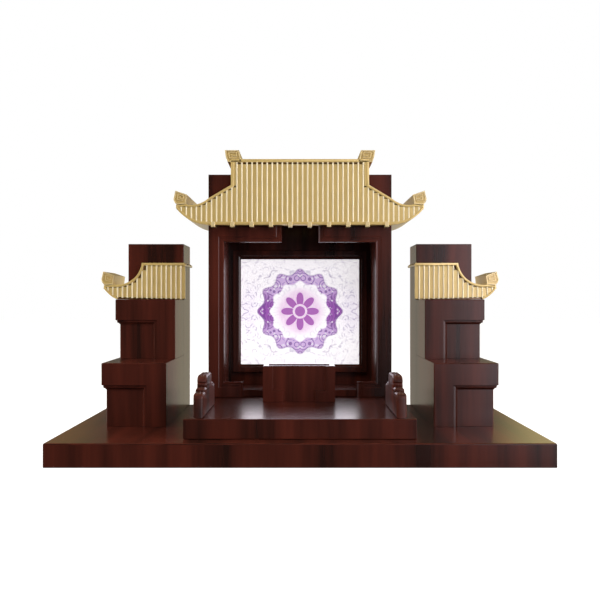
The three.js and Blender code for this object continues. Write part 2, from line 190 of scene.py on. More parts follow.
def block(bm, low, high, edge=0.0):
    """A box, with its edges rounded where a width is given."""
    made = bmesh.ops.create_cube(bm, size=1)["verts"]
    size = Vector(high) - Vector(low)
    bmesh.ops.scale(bm, verts=made, vec=size)
    bmesh.ops.translate(bm, verts=made, vec=(Vector(high) + Vector(low)) / 2)
    if edge:
        around = list(dict.fromkeys(e for v in made for e in v.link_edges))
        bmesh.ops.bevel(bm, geom=around, offset=edge, offset_type="OFFSET", segments=3,
                        profile=0.5, affect="EDGES", material=-1, clamp_overlap=True)


def soften(bm, width):
    """Rounds every sharp edge a little, as sanding and lacquer do."""
    bend = math.radians(40)
    sharp = [e for e in bm.edges if len(e.link_faces) == 2 and e.calc_face_angle() > bend]
    bmesh.ops.bevel(bm, geom=sharp, offset=width, offset_type="OFFSET", segments=2,
                    profile=0.5, affect="EDGES", material=-1, clamp_overlap=True)


def marked(bm, painted_light, fronts_only, build, *args):
    """Runs a step that adds faces and writes on them the tone painted into the gold there as light
    and shade: 1 is a painted highlight and -1 painted shade. It can leave out all but the faces that
    look forwards."""
    nearly_square_on = 0.9
    layer = bm.faces.layers.float.get("painted_light") or bm.faces.layers.float.new("painted_light")
    before = set(bm.faces)
    build(bm, *args)
    for face in bm.faces:
        if face not in before:
            face.normal_update()
            if abs(face.normal.y) > nearly_square_on or not fronts_only:
                face[layer] = painted_light


def tidy(bm, smooth_below):
    """Merges doubles, turns the faces outwards and shades edges that bend less than an angle in
    degrees as smooth."""
    bmesh.ops.remove_doubles(bm, verts=bm.verts, dist=MERGE)
    bmesh.ops.dissolve_degenerate(bm, edges=bm.edges, dist=MERGE)
    bmesh.ops.recalc_face_normals(bm, faces=bm.faces)
    bend = math.radians(smooth_below)
    for face in bm.faces:
        face.smooth = smooth_below > 0
    for edge in bm.edges:
        edge.smooth = len(edge.link_faces) == 2 and edge.calc_face_angle() < bend


def finish_piece(name, bm, material, nodes, smooth_below=0):
    """Turns a bmesh into a piece that stands for its frame nodes."""
    tidy(bm, smooth_below)
    mesh = bpy.data.meshes.new(name)
    bm.to_mesh(mesh)
    bm.free()
    mesh.materials.append(material)
    piece = bpy.data.objects.new(name, mesh)
    bpy.context.scene.collection.objects.link(piece)
    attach(piece, "root")
    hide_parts(*nodes)


def mirrored(points):
    """A chain of points carried on by its own mirror image, so that it runs from side to side."""
    return points + [Vector((-point.x, point.y)) for point in reversed(points)]


def curve_points(start, control, end, steps):
    """Points along a curve with one control point, without its start."""
    points = []
    for index in range(1, steps + 1):
        share = index / steps
        rest = 1 - share
        points.append(start * rest ** 2 + control * 2 * share * rest + end * share ** 2)
    return points


def arc_points(start, corner, end):
    """Points that round a corner of a side view, in millimetres."""
    points = curve_points(Vector(start), Vector(corner), Vector(end), 5)
    return [tuple(point) for point in points]


def edge_height(outline, x, upper):
    """The height of a closed outline's upper or lower edge at a distance from the middle."""
    heights = []
    for first, second in zip(outline, outline[1:] + outline[:1]):
        low, high = sorted((first.x, second.x))
        if high - low > MERGE / 10 and low <= x <= high:
            heights.append(first.y + (second.y - first.y) * (x - first.x) / (second.x - first.x))
    return max(heights) if upper else min(heights)


# Materials.
# A mix node has two inputs for each type of value, and these are their places.
NUMBER_A, NUMBER_B, VECTOR_A, VECTOR_B, COLOUR_A, COLOUR_B = range(2, 8)


def add(tree, kind, inputs=None, stops=(), **settings):
    """Adds a node with its settings, and a colour ramp with its stops' places and colours. Each
    input is given a value, an output or a node, which stands for its first output in use."""
    node = tree.nodes.new(f"ShaderNode{kind}")
    for name, value in settings.items():
        setattr(node, name, value)
    if stops:
        elements = node.color_ramp.elements
        while len(elements) < len(stops):
            elements.new(0.5)
        for element, (place, colour) in zip(elements, stops):
            element.position = place
            element.color = colour
    for key, value in (inputs or {}).items():
        if isinstance(value, bpy.types.Node):
            value = next(output for output in value.outputs if output.enabled)
        if isinstance(value, bpy.types.NodeSocket):
            tree.links.new(value, node.inputs[key])
        else:
            node.inputs[key].default_value = value
    return node


def new_material(name):
    """An empty material with its output and its main shader."""
    material = bpy.data.materials.new(name)
    material.use_nodes = True
    tree = material.node_tree
    tree.nodes.clear()
    shader = add(tree, "BsdfPrincipled")
    add(tree, "OutputMaterial", {"Surface": shader})
    return material, tree, shader


def lacquered_rosewood(name="lacquered_rosewood", roughness=0.22):
    """Rosewood under clear lacquer. The wood shows straight dark and reddish streaks along its
    grain, which runs upright on standing boards and front to back on lying ones. The lacquer
    gives a clear gloss that turns to a mirror at low angles."""
    found = bpy.data.materials.get(name)
    if found:
        return found
    wood = bpy.context.scene.altar_wood
    drawn_out = 0.06  # the pattern's scale along the grain, as a share of its scale across
    fine_share = 0.17
    fine_streak = wood.streak / 7
    material, tree, shader = new_material(name)
    position = add(tree, "TexCoord").outputs
    upright = add(tree, "Mapping", {"Vector": position["Object"], "Scale": (1, 1, drawn_out)})
    lying = add(tree, "Mapping", {"Vector": position["Object"], "Scale": (1, drawn_out, 1)})
    upward = add(tree, "SeparateXYZ", {"Vector": position["Normal"]}).outputs["Z"]
    level = add(tree, "Math", {0: upward}, operation="ABSOLUTE")
    grain = add(tree, "Mix", {0: level, VECTOR_A: upright, VECTOR_B: lying}, data_type="VECTOR")
    broad = add(tree, "TexNoise", {"Vector": grain, "Scale": 1 / wood.streak, "Detail": 2.0,
                                   "Distortion": 0.4})
    fine = add(tree, "TexNoise", {"Vector": grain, "Scale": 1 / fine_streak, "Detail": 4.0,
                                  "Roughness": 0.6})
    streaks = add(tree, "Mix", {0: fine_share, NUMBER_A: broad, NUMBER_B: fine}, data_type="FLOAT")
    middle = [(dark + warm) / 2 for dark, warm in zip(wood.dark, wood.warm)]
    colour = add(tree, "ValToRGB", {"Fac": streaks},
                 [(0.36, wood.dark), (0.5, middle), (0.66, wood.warm)])
    tree.links.new(colour.outputs["Color"], shader.inputs["Base Color"])
    shader.inputs["Roughness"].default_value = roughness
    shader.inputs["IOR"].default_value = 1.5
    return material


def rubbed_rosewood():
    """The same wood where carving makes polishing hard: the lacquer is rubbed to a soft sheen."""
    return lacquered_rosewood("rubbed_rosewood", 0.46)


def gold_leaf():
    """Gold leaf over carved wood under a clear coat: a warm satin gold, a little uneven in tone
    where leaves overlap, with a highlight painted almost white on the ribs and carving, a paler
    painted sheen on the rafter ends and shade painted dark brown in the recesses."""
    found = bpy.data.materials.get("gold_leaf")
    if found:
        return found
    gilt = bpy.context.scene.altar_gilt
    patch = 30 * MM
    shade = 0.93
    material, tree, shader = new_material("gold_leaf")
    position = add(tree, "TexCoord").outputs["Object"]
    leaf = add(tree, "TexNoise", {"Vector": position, "Scale": 1 / patch, "Detail": 3.0})
    deep = [channel * shade for channel in gilt.colour[:3]] + [1.0]
    fresh = add(tree, "ValToRGB", {"Fac": leaf}, [(0.3, deep), (0.6, gilt.colour)])
    painted_light = add(tree, "Attribute", attribute_name="painted_light").outputs["Fac"]
    painted_highlight = add(tree, "Math", {0: painted_light, 1: 0.0}, operation="MAXIMUM")
    painted_light_negated = add(tree, "Math", {0: painted_light, 1: -1.0}, operation="MULTIPLY")
    painted_shade = add(tree, "Math", {0: painted_light_negated, 1: 0.0}, operation="MAXIMUM")
    colour = fresh
    # The pale colour is a painted highlight and the dark brown is painted shade.
    for mask, tone in ((painted_highlight, "fff1c8"), (painted_shade, "8a6230")):
        colour = add(tree, "Mix", {0: mask, COLOUR_A: colour, COLOUR_B: linear(tone)}, data_type="RGBA")
    tree.links.new(colour.outputs["Result"], shader.inputs["Base Color"])
    shader.inputs["Metallic"].default_value = 0.25
    shader.inputs["Roughness"].default_value = 0.3
    shader.inputs["Coat Weight"].default_value = 1.0
    shader.inputs["Coat Roughness"].default_value = 0.22
    return material


def backlit_print():
    """A print on a translucent sheet, lit from behind: purples on white, with a lacy wreath
    round a pale pink disc, a rosette in its middle and faint grey and mauve marks beside it.
    The pattern is the same in all four quarters, and its unit is half the sheet's width."""
    low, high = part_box("picture_panel")
    half = (high.x - low.x) / 2
    curl = 18.48 * MM
    lace_hole = 10.66 * MM
    cloud_width = 27.72 * MM
    material, tree, shader = new_material("backlit_print")
    position = add(tree, "TexCoord").outputs["Object"]
    local = add(tree, "Mapping", {"Vector": position, "Location": (low + high) / 2,
                                  "Scale": (half, half, half)}, vector_type="TEXTURE")
    axes = add(tree, "SeparateXYZ", {"Vector": local}).outputs
    across = add(tree, "Math", {0: axes["X"]}, operation="ABSOLUTE")
    upward = add(tree, "Math", {0: axes["Z"]}, operation="ABSOLUTE")
    folded = add(tree, "CombineXYZ", {"X": across, "Y": upward})
    radius = add(tree, "VectorMath", {0: folded}, operation="LENGTH")
    angle = add(tree, "Math", {0: upward, 1: across}, operation="ARCTAN2")

    # Waves round the centre, by how many there are in a full turn.
    waves = {}
    for count in (1, 4, 6, 26):
        turned = add(tree, "Math", {0: angle, 1: count}, operation="MULTIPLY")
        waves[count] = add(tree, "Math", {0: turned}, operation="COSINE")

    # Curls are rings round scattered points, and lace and cloud are uneven patches.
    cells = add(tree, "TexVoronoi", {"Vector": folded, "Scale": half / curl})
    spread = add(tree, "Math", {0: cells, 1: 21.0}, operation="MULTIPLY")
    curls = add(tree, "Math", {0: spread}, operation="SINE")
    lace = add(tree, "TexNoise", {"Vector": folded, "Scale": half / lace_hole, "Detail": 3.0})
    cloud = add(tree, "TexNoise", {"Vector": folded, "Scale": half / cloud_width, "Detail": 2.0})

    # The wreath's lobed outer and inner edges.
    sixth = add(tree, "Math", {0: waves[6]}, operation="ABSOLUTE")
    lobe = add(tree, "Math", {0: sixth, 1: 2.5}, operation="POWER")
    outer = add(tree, "Math", {0: lobe, 1: 0.09, 2: 0.645}, operation="MULTIPLY_ADD")
    inner = add(tree, "Math", {0: lobe, 1: 0.05, 2: 0.45}, operation="MULTIPLY_ADD")
    past_inner = add(tree, "Math", {0: radius, 1: inner}, operation="SUBTRACT")
    inside_outer = add(tree, "Math", {0: outer, 1: radius}, operation="SUBTRACT")

    # Tendrils between the wreath and the corners follow a wavy line.
    wavy = add(tree, "Math", {0: waves[26], 1: 0.025, 2: 0.82}, operation="MULTIPLY_ADD")
    past_wavy = add(tree, "Math", {0: radius, 1: wavy}, operation="SUBTRACT")

    # The rosette has eight bold petals round a button.
    quarter = add(tree, "Math", {0: waves[4]}, operation="ABSOLUTE")
    blunt = add(tree, "Math", {0: quarter, 1: 0.7}, operation="POWER")
    reach = add(tree, "Math", {0: blunt, 1: 0.23, 2: 0.1}, operation="MULTIPLY_ADD")
    inside_petals = add(tree, "Math", {0: reach, 1: radius}, operation="SUBTRACT")
    from_button = add(tree, "Math", {0: radius, 1: 0.105}, operation="SUBTRACT")
    off_button = add(tree, "Math", {0: from_button}, operation="ABSOLUTE")

    # Each mask is 0 where its value is at the first limit and 1 at the second.
    limits = {
        "bold_curls": (curls, 0.35, 0.95), "thin_curls": (curls, 0.2, 0.9),
        "dense_lace": (lace, 0.46, 0.58), "open_lace": (lace, 0.66, 0.56),
        "beside": (across, 0.62, 0.82), "before_edge": (across, 1.1, 0.9),
        "level": (upward, 0.6, 0.1), "at_edge": (across, 0.9, 1.0),
        "disc": (radius, 0.45, 0.3), "sideways": (waves[1], 0.8, 1.0),
        "ring_inside": (past_inner, 0.0, 0.03), "ring_outside": (inside_outer, 0.0, 0.03),
        "border_inside": (inside_outer, 0.045, 0.03), "border_outside": (inside_outer, 0.0, 0.015),
        "tendril_inside": (past_wavy, -0.03, -0.02), "tendril_outside": (past_wavy, 0.0, -0.01),
        "tendril_start": (angle, 0.72, 0.75), "tendril_end": (angle, 1.08, 1.05),
        "petals": (inside_petals, 0.0, 0.02), "gap": (off_button, 0.01, 0.025),
    }
    mask = {name: add(tree, "MapRange", {"Value": value, "From Min": start, "From Max": end},
                      interpolation_type="SMOOTHSTEP")
            for name, (value, start, end) in limits.items()}

    # A shape lies where all of its masks do.
    shapes = {
        "sides": ("beside", "before_edge", "level"),
        "flourishes": ("bold_curls", "dense_lace"),
        "edge_flourishes": ("bold_curls", "dense_lace", "at_edge"),
        "ring": ("ring_inside", "ring_outside"),
        "ring_curls": ("ring_inside", "ring_outside", "thin_curls"),
        "border": ("border_inside", "border_outside"),
        "tendrils": ("tendril_inside", "tendril_outside", "tendril_start", "tendril_end"),
        "rosette": ("petals", "gap"),
    }
    for name, parts in shapes.items():
        shape = mask[parts[0]]
        for part in parts[1:]:
            shape = add(tree, "Math", {0: shape, 1: mask[part]}, operation="MULTIPLY")
        mask[name] = shape

    # Flourishes are faint on the white ground and denser beside the wreath. The disc is cloudy,
    # and lace shows through the wreath's lilac ground, which is darker at its two sides.
    dense = add(tree, "Math", {0: mask["sides"], 1: 0.5, 2: 0.45}, operation="MULTIPLY_ADD")
    cloudy = add(tree, "Math", {0: cloud, 1: 1.4, 2: 0.2}, operation="MULTIPLY_ADD")
    filled = add(tree, "Math", {0: mask["open_lace"], 1: 0.6, 2: 0.25}, operation="MULTIPLY_ADD")
    wreath = add(tree, "Math", {0: mask["ring"], 1: filled}, operation="MULTIPLY")

    # Inks, from the first printed to the last: where, how strong and in which colour.
    inks = [
        (mask["flourishes"], dense, "7d74a0"),
        (mask["sides"], 0.3, "d6c9e8"),
        (mask["edge_flourishes"], 0.4, "b58fb0"),
        (mask["disc"], cloudy, "e6cde6"),
        (wreath, 1.0, "bd9bd2"),
        (wreath, mask["sideways"], "84309a"),
        (mask["ring_curls"], 0.7, "6a3f88"),
        (mask["border"], 0.45, "8f7aa5"),
        (mask["tendrils"], 0.5, "8c7da3"),
        (mask["rosette"], 1.0, "a565af"),
    ]
    sheet = linear("fbf9fc")
    for shape, strength, ink in inks:
        cover = add(tree, "Math", {0: shape, 1: strength}, operation="MULTIPLY")
        sheet = add(tree, "Mix", {0: cover, COLOUR_A: sheet, COLOUR_B: linear(ink)}, data_type="RGBA")

    tree.links.new(sheet.outputs["Result"], shader.inputs["Base Color"])
    tree.links.new(sheet.outputs["Result"], shader.inputs["Emission Color"])
    shader.inputs["Emission Strength"].default_value = 0.71
    shader.inputs["Roughness"].default_value = 0.5
    return material


# Base boards.
class AltarBase(bpy.types.Operator):
    """The plinth and the platform: thick boards with a rounded upper edge"""

    bl_idname = "altar.base"
    bl_label = "Plinth and platform"

    def execute(self, context):
        for node, rounding in (("plinth", 2.5 * MM), ("platform", 1.8 * MM)):
            low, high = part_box(node)
            bm = bmesh.new()
            block(bm, low, high)
            top = [e for e in bm.edges if all(v.co.z > high.z - MM for v in e.verts)]
            bmesh.ops.bevel(bm, geom=top, offset=rounding, offset_type="OFFSET", segments=4,
                            profile=0.5, affect="EDGES", material=-1, clamp_overlap=True)
            soften(bm, context.scene.altar_wood.edge)
            finish_piece(f"{node}_board", bm, lacquered_rosewood(), [node])
        return {"FINISHED"}


# Gate.
def opening_chain(margin=0.0):
    """The edge of the portal's opening, from the right foot round to the left foot. A margin
    moves it away from the opening."""
    base = PORTAL_LOW.z
    side = 167 * MM + margin
    notch = 40.5 * MM + margin
    foot = 126 * MM + margin
    foot_top = base + 33 * MM - margin
    lintel = base + 341 * MM + margin
    notch_top = lintel + 46.7 * MM
    right = [Vector((foot, base)), Vector((foot, foot_top)), Vector((side, foot_top)),
             Vector((side, lintel)), Vector((notch, lintel)), Vector((notch, notch_top))]
    return mirrored(right)


class AltarGate(bpy.types.Operator):
    """The gate: a portal with a moulded opening, side walls, top, floor and back"""

    bl_idname = "altar.gate"
    bl_label = "Gate"

    def execute(self, context):
        edge = context.scene.altar_wood.edge
        thickness = PORTAL_HIGH.y - PORTAL_LOW.y
        moulding = 11 * MM
        half = PORTAL_HIGH.x
        bm = bmesh.new()
        outer = [Vector((-half, PORTAL_LOW.z)), Vector((-half, PORTAL_HIGH.z)),
                 Vector((half, PORTAL_HIGH.z)), Vector((half, PORTAL_LOW.z))]
        prism(bm, outer + opening_chain(moulding), PORTAL_LOW.y, 0, thickness)
        soften(bm, edge)
        # Distances from the opening and depths, in millimetres: a narrow bead, a flat fillet, a
        # fine groove and a strip that runs under the board.
        section = [(0, 1.4), (0.25, 0.5), (0.9, 0.15), (1.6, 0.3), (2.6, 0.9), (3.4, 1.0), (6.6, 1.0),
                   (7.0, 1.5), (7.6, 1.5), (8.0, 1.0), (11.4, 1.0)]
        profile = [(0, 0, thickness)] + [(0, out * MM, depth * MM) for out, depth in section]
        profile.append((0, section[-1][0] * MM, thickness))
        sweep(bm, list(reversed(opening_chain())), profile, facing(PORTAL_LOW.y))
        finish_piece("portal_board", bm, lacquered_rosewood(), ["gate_portal"])

        for node in ("gate_side_right", "gate_side_left", "gate_top", "gate_back"):
            bm = bmesh.new()
            block(bm, *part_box(node), edge=edge / 2)
            finish_piece(f"{node}_board", bm, lacquered_rosewood(), [node])

        # The sill is a tongue of the niche's floor, between the portal's feet.
        low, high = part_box("gate_floor")
        tongue = 125.7 * MM
        shoulder = PORTAL_HIGH.y + 0.3 * MM
        outline = [Vector((high.x, high.y)), Vector((high.x, shoulder)), Vector((tongue, shoulder)),
                   Vector((tongue, low.y))]
        bm = bmesh.new()
        loft(bm, [[Vector((p.x, p.y, z)) for p in mirrored(outline)] for z in (low.z, high.z)])
        soften(bm, edge)
        finish_piece("niche_floor_board", bm, lacquered_rosewood(), ["gate_floor"])
        return {"FINISHED"}


class AltarPicture(bpy.types.Operator):
    """The picture frame and the print in it"""

    bl_idname = "altar.picture"
    bl_label = "Picture"

    def execute(self, context):
        low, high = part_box("picture_frame")
        deep = high.y - low.y
        chain = [Vector((high.x, low.z)), Vector((high.x, high.z)),
                 Vector((low.x, high.z)), Vector((low.x, low.z))]
        # Distances from the outer edge and depths, in millimetres: a rounded edge, a flat face
        # and a lip that steps down to the print.
        section = [(0, 1.5), (0.5, 0.5), (1.5, 0), (12.6, 0), (13.4, 0.9), (14.4, 0.9), (16.8, 1.6),
                   (18.2, 2.4), (18.6, 3.2)]
        profile = [(0, 0, deep)] + [(0, inwards * MM, depth * MM) for inwards, depth in section]
        profile.append((0, section[-1][0] * MM, deep))
        bm = bmesh.new()
        sweep(bm, chain, profile, facing(low.y), closed=True)
        # The lip is deeper along the top.
        inset = 18 * MM
        lip = 3.1 * MM
        block(bm, (low.x + inset, low.y + 2.2 * MM, high.z - inset - lip),
              (high.x - inset, high.y, high.z - inset))
        finish_piece("moulded_frame", bm, lacquered_rosewood(), ["picture_frame"])
        bm = bmesh.new()
        block(bm, *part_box("picture_panel"), edge=0.3 * MM)
        finish_piece("print_panel", bm, backlit_print(), ["picture_panel"])
        return {"FINISHED"}


# Furniture.
class AltarTable(bpy.types.Operator):
    """The offering table: a sunk top, legs with beads and feet, and a recessed panel"""

    bl_idname = "altar.table"
    bl_label = "Offering table"

    def execute(self, context):
        low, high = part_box("offering_table")
        centre = (low.x + high.x) / 2
        half = (high.x - low.x) / 2
        relief = 4 * MM
        rim = 11.5 * MM
        tray = 8 * MM
        turn = 1 * MM

        def level(front, inset, z):
            """One level of the table's body."""
            return [Vector((centre - half + inset, low.y + front, z)),
                    Vector((centre + half - inset, low.y + front, z)),
                    Vector((centre + half - inset, high.y - inset, z)),
                    Vector((centre - half + inset, high.y - inset, z))]

        bm = bmesh.new()
        loft(bm, [level(relief, 0, low.z), level(relief, 0, high.z - turn),
                  level(relief + turn, turn, high.z), level(rim - turn, rim - turn, high.z),
                  level(rim, rim, high.z - turn), level(rim, rim, high.z - tray)])

        leg = 24 * MM
        foot = 46.6 * MM
        foot_top = low.z + 26.7 * MM
        leg_top = high.z - 0.3 * MM
        bead = 5 * MM
        behind = relief + 1 * MM
        # Distances from the leg's inner edge and depths, in millimetres: a dark step, then a
        # rounded bead.
        section = [(0, 3.4), (0.4, 2.9), (2.6, 2.9), (3.0, 2.5), (3.4, 0.7), (4.0, 0.3), (5.4, 0.2)]
        for side in (-1, 1):
            def inner_edge(margin):
                """The inner edge of this side's leg and foot, moved outwards by a margin."""
                at_foot = centre + side * (half - foot + margin)
                at_leg = centre + side * (half - leg + margin)
                return [Vector((at_foot, low.z)), Vector((at_foot, foot_top - margin)),
                        Vector((at_leg, foot_top - margin)), Vector((at_leg, leg_top))]
            outside = centre + side * half
            board = inner_edge(bead) + [Vector((outside, leg_top)), Vector((outside, low.z))]
            prism(bm, board, low.y, 0, behind)
            profile = [(0, 0, behind)] + [(0, -side * out * MM, depth * MM) for out, depth in section]
            profile.append((0, -side * section[-1][0] * MM, behind))
            sweep(bm, inner_edge(0), profile, facing(low.y))
        finish_piece("table_body", bm, lacquered_rosewood(), ["offering_table"])
        return {"FINISHED"}


def rail_outline(low, high):
    """The rail's side view: a low lobe, a small scroll, a bead and a high middle, the same at
    both ends. Each lobe springs from a small notch behind the one in front. Distances along the
    rail and heights are in millimetres."""
    low_lobe = [(0, 0.3), (0, 35)] + arc_points((0, 35), (0, 46), (11, 46))
    low_lobe += [(32, 46), (34.8, 45.2), (36, 43.6)]
    scroll = [(35, 45.4), (34.6, 47.4)] + arc_points((34.6, 47.4), (34.8, 52), (40, 52))
    scroll += [(58, 52), (61, 51), (62.4, 49.6)]
    bead = [(61.2, 53), (60.4, 55.4), (61, 57.6), (62.4, 58.4)]
    middle = [(61, 61)] + arc_points((61, 61), (63, 73.4), (80, 73.4))
    front = [Vector((low.y + along * MM, low.z + (up - 0.3) * MM))
             for along, up in low_lobe + scroll + bead + middle]
    back = [Vector((low.y + high.y - point.x, point.y)) for point in front]
    return front + list(reversed(back))


class AltarRails(bpy.types.Operator):
    """The pair of carved rails: rounded across, with three shallow reeds along the top"""

    bl_idname = "altar.rails"
    bl_label = "Rails"

    def execute(self, context):
        low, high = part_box("rail_right")
        outline = rail_outline(low, high)
        middle = (low.x + high.x) / 2
        half = (high.x - low.x) / 2
        steps = miters(outline, True)
        rounding = 3.4 * MM
        groove = 1.0 * MM
        sections = 24
        rings = []
        for index in range(sections + 1):
            share = 2 * index / sections - 1
            sunk = rounding * (1 - math.sqrt(max(0.0, 1 - abs(share) ** 3)))
            reed = abs(math.sin(1.5 * math.pi * (share + 1)))
            carved = groove * (1 - reed) if abs(share) < 0.97 else 0
            ring = []
            for point, step in zip(outline, steps):
                upward = max(0.0, step.normalized().y)
                moved = point - step * (sunk + carved * upward)
                ring.append(Vector((middle + share * half, moved.x, max(moved.y, low.z))))
            rings.append(ring)
        for side in ("right", "left"):
            bm = bmesh.new()
            loft(bm, rings)
            if side == "left":
                bmesh.ops.scale(bm, verts=bm.verts, vec=(-1, 1, 1))
            finish_piece(f"carved_rail_{side}", bm, rubbed_rosewood(),
                         [f"rail_{side}"], smooth_below=35)
        return {"FINISHED"}


# Towers.
def bordered_block(bm, low, high):
    """A tower block. Its raised border runs up the inner side and along the top, and wraps
    round to the outer side; the sunk field below it has a moulded edge."""
    # Distances across the border's edge and depths, in millimetres.
    border = [(0, 0), (0.4, 0.7), (0.8, 2.8), (4.6, 3.0), (5.6, 3.6), (6.4, 5.4), (7.4, 6.8),
              (8.8, 7.4), (9.2, 8.4)]
    edge = [(across * MM, depth * MM) for across, depth in border]
    stile = low.x + 39 * MM
    rail = high.z - 43.7 * MM
    turn = 1.4 * MM

    def level(z, sunk, inset=0.0):
        """One level, with the field no deeper than given."""
        left, front, back = low.x + inset, low.y + inset, high.y - inset
        right = high.x - sunk - inset
        points = [Vector((left, back, z)), Vector((left, front + turn, z)),
                  Vector((left + turn, front, z))]
        points += [Vector((stile + across, front + min(depth, sunk), z)) for across, depth in edge]
        points += [Vector((right - turn, front + sunk, z)), Vector((right, front + sunk + turn, z)),
                   Vector((right, back, z))]
        return points

    deepest = edge[-1][1]
    rings = [level(low.z, deepest)]
    rings += [level(rail - across, depth) for across, depth in reversed(edge)]
    rings += [level(high.z - turn, 0), level(high.z - turn * 0.3, 0, turn * 0.3), level(high.z, 0, turn)]
    loft(bm, rings)


class AltarTowers(bpy.types.Operator):
    """The stepped towers: a rear pier and two bordered blocks on each side"""

    bl_idname = "altar.towers"
    bl_label = "Towers"

    def execute(self, context):
        edge = context.scene.altar_wood.edge
        for side in ("right", "left"):
            # Each block stands out a little past its frame node on the outer side.
            for part, spread in (("lower_block", 2.2 * MM), ("upper_block", 0.6 * MM)):
                bm = bmesh.new()
                low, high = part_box(f"{part}_right")
                high.x += spread
                bordered_block(bm, low, high)
                if side == "left":
                    bmesh.ops.scale(bm, verts=bm.verts, vec=(-1, 1, 1))
                finish_piece(f"{part}_{side}_body", bm, lacquered_rosewood(),
                             [f"{part}_{side}"])
            bm = bmesh.new()
            block(bm, *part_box(f"tower_pier_{side}"), edge=edge)
            finish_piece(f"pier_{side}_body", bm, lacquered_rosewood(),
                         [f"tower_pier_{side}"])
        return {"FINISHED"}


# Roofs.
BAND_DEPTH = 10 * MM  # how far the bands, ribs and pans are let into the roof's body
FIELD = 1.6 * MM  # depth of the pans behind the bands
POCKET = 4.2 * MM  # dark pocket between a pan's upper end and the ridge band
CORNER_WIDTH = 25 * MM  # of an upturned corner block, at its tip
CORNER_FOOT = 22.5 * MM  # from the corner block's outer edge in to where the hip meets it
CORNER_HEIGHT = 29.3 * MM
SIDE_RIB_START = 5.4 * MM  # from the pier's inner side to the middle of the side roof's first rib
CLEARANCE = 0.3 * MM  # between a roof and the wood that it is cut to fit
# Light and shade painted into the gold, from 1 for a painted highlight to -1 for painted shade.
RIB_PAINTED_HIGHLIGHT = 1.0
BLOCK_PAINTED_SHEEN = 0.4
CARVING_PAINTED_HIGHLIGHT = 0.35
GROUND_PAINTED_SHADE = -0.1
RECESS_PAINTED_SHADE = -1.0


def corner_outline(out, top):
    """The upturned corner block, from the hip's foot round to the bottom of the eave's lip."""
    foot = top - CORNER_HEIGHT
    belly = Vector((out + 4 * MM, foot + CORNER_HEIGHT * 0.4))
    points = [Vector((out - CORNER_FOOT, foot)), Vector((out - CORNER_WIDTH, top - 8.5 * MM)),
              Vector((out, top)), belly]
    points += curve_points(belly, Vector((out + 4 * MM, foot + CORNER_HEIGHT * 0.15)),
                           Vector((out - 3 * MM, foot - 1 * MM)), 8)
    points += [Vector((out - 1.5 * MM, foot - 4.5 * MM)), Vector((out - 1.5 * MM, foot - 9 * MM))]
    return points


def under_corner(out, foot):
    """The curve under the corner block, from the hip's foot to the eave's lip."""
    return curve_points(foot, Vector((out - 10 * MM, foot.y - 3 * MM)),
                        Vector((out - 1.5 * MM, foot.y - 1 * MM)), 5)


def square_spiral(corners):
    """The meander of a carved face: a spiral chain inside the face's four corners, and the
    profile of the strip that follows it."""
    lower_in, lower_out, upper_out, upper_in = corners
    turns = [(0.24, 0.24), (0.76, 0.24), (0.76, 0.76), (0.24, 0.76), (0.24, 0.42), (0.56, 0.42),
             (0.56, 0.6)]
    chain = []
    for across, up in turns:
        lower = lower_in.lerp(lower_out, across)
        upper = upper_in.lerp(upper_out, across)
        chain.append(lower.lerp(upper, up))
    half = 0.9 * MM
    turn = 0.4 * MM
    deep = 3 * MM
    profile = [(0, -half, deep), (0, -half, turn), (0, -half + turn, 0),
               (0, half - turn, 0), (0, half, turn), (0, half, deep)]
    return chain, profile


def band_profile(turn=0.9 * MM):
    """A raised band with rounded edges, to the right of its chain and across a given width."""
    return [(0, 0, BAND_DEPTH), (0, 0, turn), (0, -turn * 0.3, turn * 0.3), (0, -turn, 0),
            (-1, turn, 0), (-1, turn * 0.3, turn * 0.3), (-1, 0, turn), (-1, 0, BAND_DEPTH)]


def roof_body(silhouette, front, cut_low, cut_high, name):
    """The roof's plain body behind its carving, cut away round the wood that carries it. Its
    front shows only in the recesses, so it is painted dark there as shade."""
    place = facing(front)
    depths = (BAND_DEPTH - 1 * MM, PLINTH_HIGH.y - front)
    bm = bmesh.new()
    loft(bm, [[place(point, depth) for point in silhouette] for depth in depths])
    layer = bm.faces.layers.float.new("painted_light")
    foremost = min(bm.faces, key=lambda face: face.calc_center_median().y)
    # The front face is painted dark as shade.
    foremost[layer] = RECESS_PAINTED_SHADE
    return cut_away(bm, name, cut_low, cut_high)


def add_rib(bm, x, bottom, top, front, width):
    """A narrow half-round rib."""
    half = width / 2
    root = FIELD - 0.2 * MM
    rise = FIELD - 0.5 * MM
    angles = [math.radians(degrees) for degrees in range(0, 181, 20)]
    section = [(half * math.cos(a), root - rise * math.sin(a)) for a in angles]
    section = [(half, BAND_DEPTH)] + section + [(-half, BAND_DEPTH)]
    loft(bm, [[Vector((x + across, front + depth, z)) for across, depth in section]
              for z in (bottom, top)])


def add_pan(bm, x, bottom, top, front, width):
    """A flat pan between two ribs, cut square at its upper end."""
    half = width / 2
    loft(bm, [[Vector((x - half, front + FIELD, z)), Vector((x + half, front + FIELD, z)),
               Vector((x + half, front + BAND_DEPTH, z)), Vector((x - half, front + BAND_DEPTH, z))]
              for z in (bottom, top)])


def in_fixed_order(mesh):
    """Takes a cut mesh and the light and shade painted on its faces into a bmesh. The cut leaves
    corners and faces in another order each run, so they are sorted, and each face starts at its
    lowest corner in that order."""
    painted_light = mesh.attributes["painted_light"].data
    faces = []
    for face in mesh.polygons:
        ring = [tuple(mesh.vertices[index].co) for index in face.vertices]
        start = ring.index(min(ring))
        faces.append((ring[start:] + ring[:start], painted_light[face.index].value))
    bm = bmesh.new()
    layer = bm.faces.layers.float.new("painted_light")
    places = sorted({place for ring, _ in faces for place in ring})
    corners = {place: bm.verts.new(place) for place in places}
    for ring, worn in sorted(faces):
        bm.faces.new([corners[place] for place in ring])[layer] = worn
    return bm


